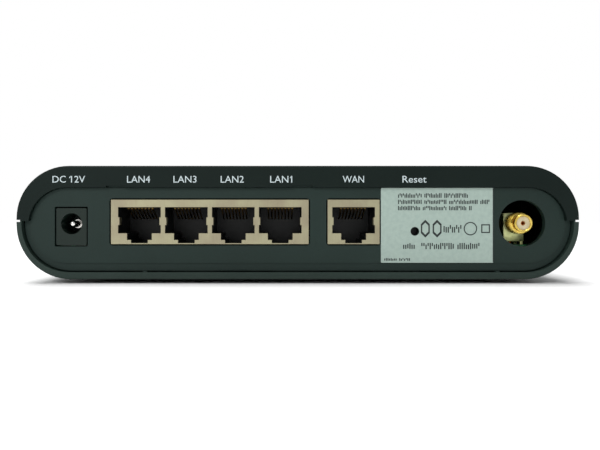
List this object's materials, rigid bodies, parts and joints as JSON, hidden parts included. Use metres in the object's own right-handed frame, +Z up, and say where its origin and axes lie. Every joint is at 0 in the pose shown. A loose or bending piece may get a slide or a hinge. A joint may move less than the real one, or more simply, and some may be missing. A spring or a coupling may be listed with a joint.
{
  "type": "wireless router",
  "caption": "Flat desktop wireless router with rounded sides, a rear panel of network sockets, a power inlet, a reset hole and a coaxial antenna jack.",
  "frame": {"origin": "centre of the footprint, on the surface that the rubber feet stand on", "axes": "+Z up, +X to the right when facing the port panel, +Y from the port panel to the light panel"},
  "size_m": [0.1664, 0.115, 0.0348],
  "materials": {
    "case_plastic": "fine satin, dark grey",
    "panel_plastic": "fine satin, dark grey",
    "smoked_plastic": "polished, smoked",
    "clear_plastic": "clear moulded",
    "foot_rubber": "matt",
    "screw_steel": "black zinc",
    "label_film": "satin film",
    "circuit_board": "green solder mask",
    "black_plastic": "moulded black",
    "contact_metal": "nickel plated",
    "tinned_steel": "tin plated sheet",
    "gold_contact": "gold flashed",
    "gold_plate": "gold plated, satin",
    "white_insulator": "white, waxy",
    "chip_plastic": "moulded epoxy",
    "capacitor_can": "bright drawn",
    "led_package": "white package",
    "ceramic_chip": "matt ceramic"
  },
  "bodies": {
    "router": {"antenna_jack_body": "gold_plate", "antenna_jack_contact": "gold_contact", "antenna_jack_insulator": "white_insulator", "board_screws": "screw_steel", "bottom_case": "case_plastic", "case_screws": "screw_steel", "ceramic_capacitors": "ceramic_chip", "chip_resistors": "chip_plastic", "crystals": "capacitor_can", "dc_jack_housing": "black_plastic", "dc_jack_pin": "contact_metal", "dc_jack_terminals": "contact_metal", "electrolytic_capacitors": "capacitor_can", "flash_chip": "chip_plastic", "front_panel": "panel_plastic", "lan_contact_leads": "gold_contact", "lan_jack_housing": "black_plastic", "lan_jack_shield": "tinned_steel", "lan_magnetics_left": "chip_plastic", "lan_magnetics_right": "chip_plastic", "led_window": "smoked_plastic", "light_guide": "clear_plastic", "main_board": "circuit_board", "memory_chip": "chip_plastic", "power_inductors": "chip_plastic", "power_regulator": "chip_plastic", "processor_chip": "chip_plastic", "radio_chip": "chip_plastic", "radio_shield_frame": "tinned_steel", "radio_shield_lid": "tinned_steel", "rating_label": "label_film", "rear_panel": "panel_plastic", "reset_dome": "contact_metal", "reset_switch_body": "black_plastic", "reset_switch_cover": "tinned_steel", "rubber_feet": "foot_rubber", "service_header": "gold_contact", "status_leds": "led_package", "switch_chip": "chip_plastic", "top_cover": "case_plastic", "wan_contact_leads": "gold_contact", "wan_jack_housing": "black_plastic", "wan_jack_shield": "tinned_steel", "wan_magnetics": "chip_plastic"},
    "reset_button": {"reset_button": "black_plastic"},
    "dc_spring": {"dc_jack_spring": "contact_metal"},
    "lan1_contacts": {"lan1_contacts": "gold_contact"},
    "lan2_contacts": {"lan2_contacts": "gold_contact"},
    "lan3_contacts": {"lan3_contacts": "gold_contact"},
    "lan4_contacts": {"lan4_contacts": "gold_contact"},
    "wan_contacts": {"wan_contacts": "gold_contact"}
  },
  "joints": [
    {"name": "reset_press", "type": "slide", "parent": "router", "child": "reset_button", "axis": [0, 1, 0], "range_m": [0, 0.0003], "stiffness_N_per_m": 1000},
    {"name": "dc_spring_flex", "type": "hinge", "parent": "router", "child": "dc_spring", "pos_m": [-0.06295, -0.0439, 0.01765], "axis": [0, 0, 1], "range_deg": [0, 3], "stiffness_Nm_per_rad": 0.02},
    {"name": "lan1_contact_lift", "type": "hinge", "parent": "router", "child": "lan1_contacts", "pos_m": [-0.00519, -0.05455, 0.02225], "axis": [1, 0, 0], "range_deg": [0, 12], "stiffness_Nm_per_rad": 0.005},
    {"name": "lan2_contact_lift", "type": "hinge", "parent": "router", "child": "lan2_contacts", "pos_m": [-0.01915, -0.05455, 0.02225], "axis": [1, 0, 0], "range_deg": [0, 12], "stiffness_Nm_per_rad": 0.005},
    {"name": "lan3_contact_lift", "type": "hinge", "parent": "router", "child": "lan3_contacts", "pos_m": [-0.03313, -0.05455, 0.02225], "axis": [1, 0, 0], "range_deg": [0, 12], "stiffness_Nm_per_rad": 0.005},
    {"name": "lan4_contact_lift", "type": "hinge", "parent": "router", "child": "lan4_contacts", "pos_m": [-0.04709, -0.05455, 0.02225], "axis": [1, 0, 0], "range_deg": [0, 12], "stiffness_Nm_per_rad": 0.005},
    {"name": "wan_contact_lift", "type": "hinge", "parent": "router", "child": "wan_contacts", "pos_m": [0.01665, -0.05455, 0.02225], "axis": [1, 0, 0], "range_deg": [0, 12], "stiffness_Nm_per_rad": 0.005}
  ]
}
